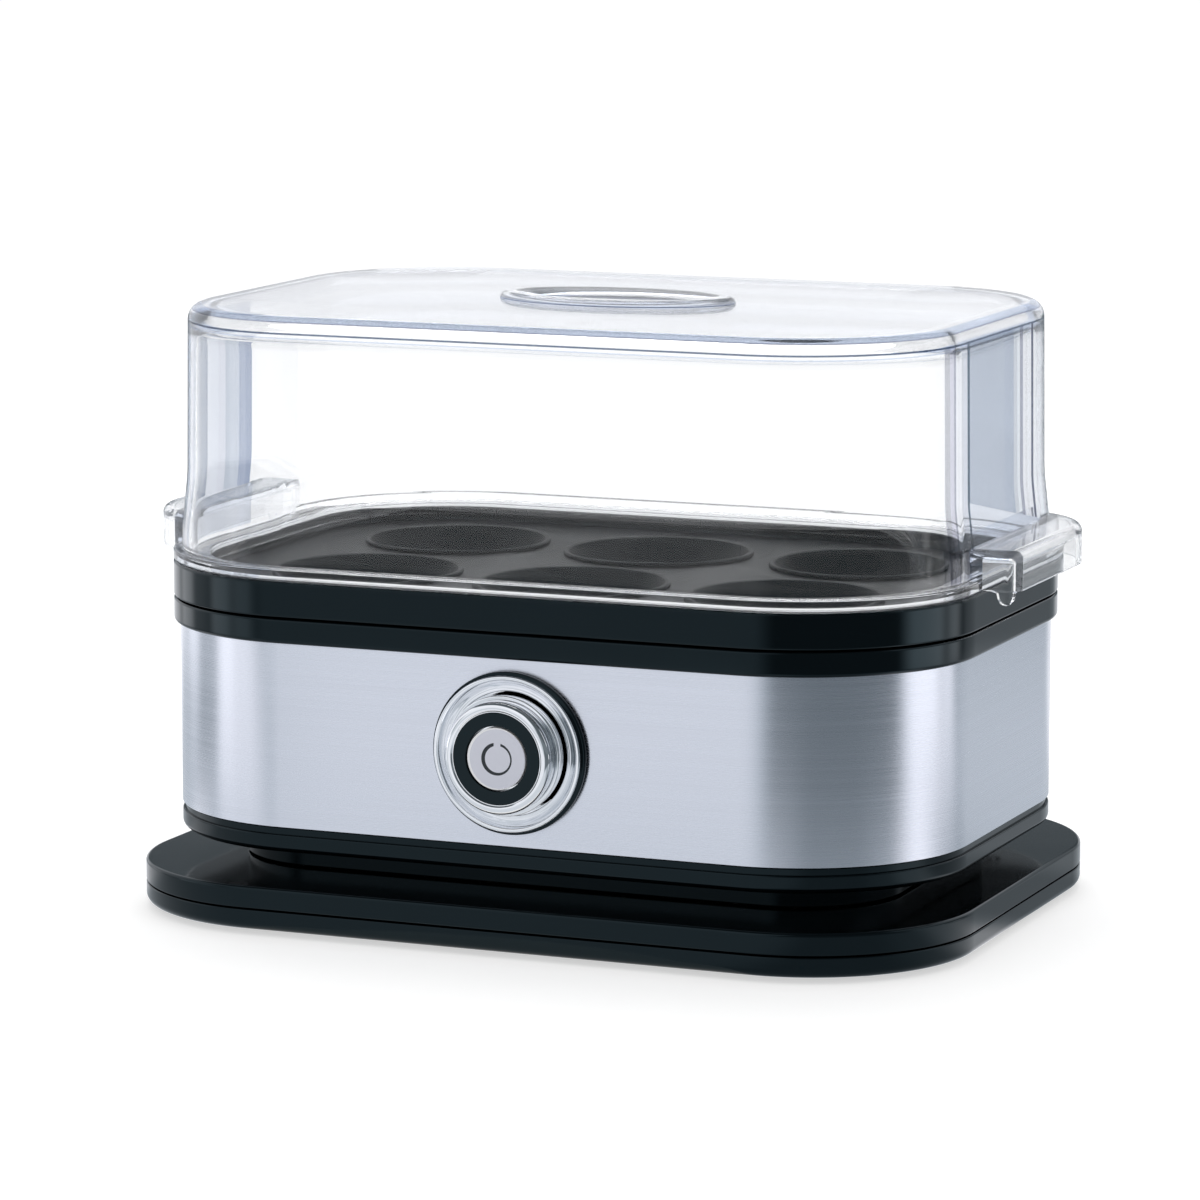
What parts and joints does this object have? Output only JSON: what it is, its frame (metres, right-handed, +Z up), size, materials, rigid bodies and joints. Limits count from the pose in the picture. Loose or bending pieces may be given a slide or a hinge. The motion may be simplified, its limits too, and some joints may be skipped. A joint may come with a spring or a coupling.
{
  "type": "electric egg cooker",
  "caption": "Electric egg cooker with a clear handled lid over a cup tray, a steel-wrapped heater body with a round push button, and a black two-layer stand.",
  "frame": {"origin": "centre of the stand's footprint, on the surface that the feet rest on", "axes": "+X along the front to the viewer's right, +Y to the rear, +Z up; the power button faces -Y"},
  "size_m": [0.197, 0.14, 0.1311],
  "materials": {
    "black_gloss_plastic": "moulded, glossy, near-black with a teal cast",
    "black_satin_plastic": "moulded, satin black",
    "clear_plastic": "clear, polished, faint blue-grey at the edges",
    "brushed_steel": "brushed along the length",
    "chrome": "polished chrome plating",
    "satin_silver": "satin silver paint on plastic",
    "dish_steel": "drawn stainless sheet",
    "cast_aluminium": "as cast",
    "zinc_plated_steel": "zinc plated",
    "black_rubber": "matt rubber",
    "grey_silicone": "matt silicone",
    "white_nylon": "moulded nylon",
    "glass_sleeve": "woven glass sleeve",
    "wire_insulation": "extruded insulation"
  },
  "bodies": {
    "base": {"body_pan": "black_gloss_plastic", "button_collar": "chrome", "button_spring": "zinc_plated_steel", "collar_nut": "zinc_plated_steel", "cord_gland": "black_rubber", "dish_gasket": "grey_silicone", "foot_front_left": "black_rubber", "foot_front_right": "black_rubber", "foot_rear_left": "black_rubber", "foot_rear_right": "black_rubber", "fuse_clip": "zinc_plated_steel", "heater_bezel": "black_gloss_plastic", "heater_plate": "cast_aluminium", "heater_strap": "zinc_plated_steel", "heating_dish": "dish_steel", "heating_element": "zinc_plated_steel", "housing_screw_front_left": "zinc_plated_steel", "housing_screw_front_right": "zinc_plated_steel", "housing_screw_rear_left": "zinc_plated_steel", "housing_screw_rear_right": "zinc_plated_steel", "neck_ring": "black_gloss_plastic", "push_switch": "white_nylon", "stand_deck": "black_gloss_plastic", "stand_pan": "black_gloss_plastic", "stand_screw_front_left": "zinc_plated_steel", "stand_screw_front_right": "zinc_plated_steel", "stand_screw_rear_left": "zinc_plated_steel", "stand_screw_rear_right": "zinc_plated_steel", "steel_wrap": "brushed_steel", "strap_screw_left": "zinc_plated_steel", "strap_screw_right": "zinc_plated_steel", "switch_bracket": "zinc_plated_steel", "terminal_block": "white_nylon", "thermal_fuse": "glass_sleeve", "thermostat": "white_nylon", "wire_element_to_terminal": "wire_insulation", "wire_fuse_to_element": "wire_insulation", "wire_switch_to_thermostat": "wire_insulation", "wire_terminal_to_switch": "wire_insulation", "wire_thermostat_to_fuse": "wire_insulation"},
    "tray": {"egg_tray": "black_satin_plastic"},
    "lid": {"clear_lid": "clear_plastic"},
    "power_button": {"button_barrel": "chrome", "button_ring": "black_gloss_plastic", "button_cap": "satin_silver", "button_stem": "black_gloss_plastic"}
  },
  "joints": [
    {"name": "tray_lift", "type": "slide", "parent": "base", "child": "tray", "axis": [0, 0, 1], "range_m": [0, 0.05]},
    {"name": "lid_lift", "type": "slide", "parent": "tray", "child": "lid", "axis": [0, 0, 1], "range_m": [0, 0.07]},
    {"name": "button_press", "type": "slide", "parent": "base", "child": "power_button", "axis": [0, 1, 0], "range_m": [0, 0.0025], "stiffness_N_per_m": 400, "springref_m": -0.001, "deforming": ["button_spring"]}
  ]
}
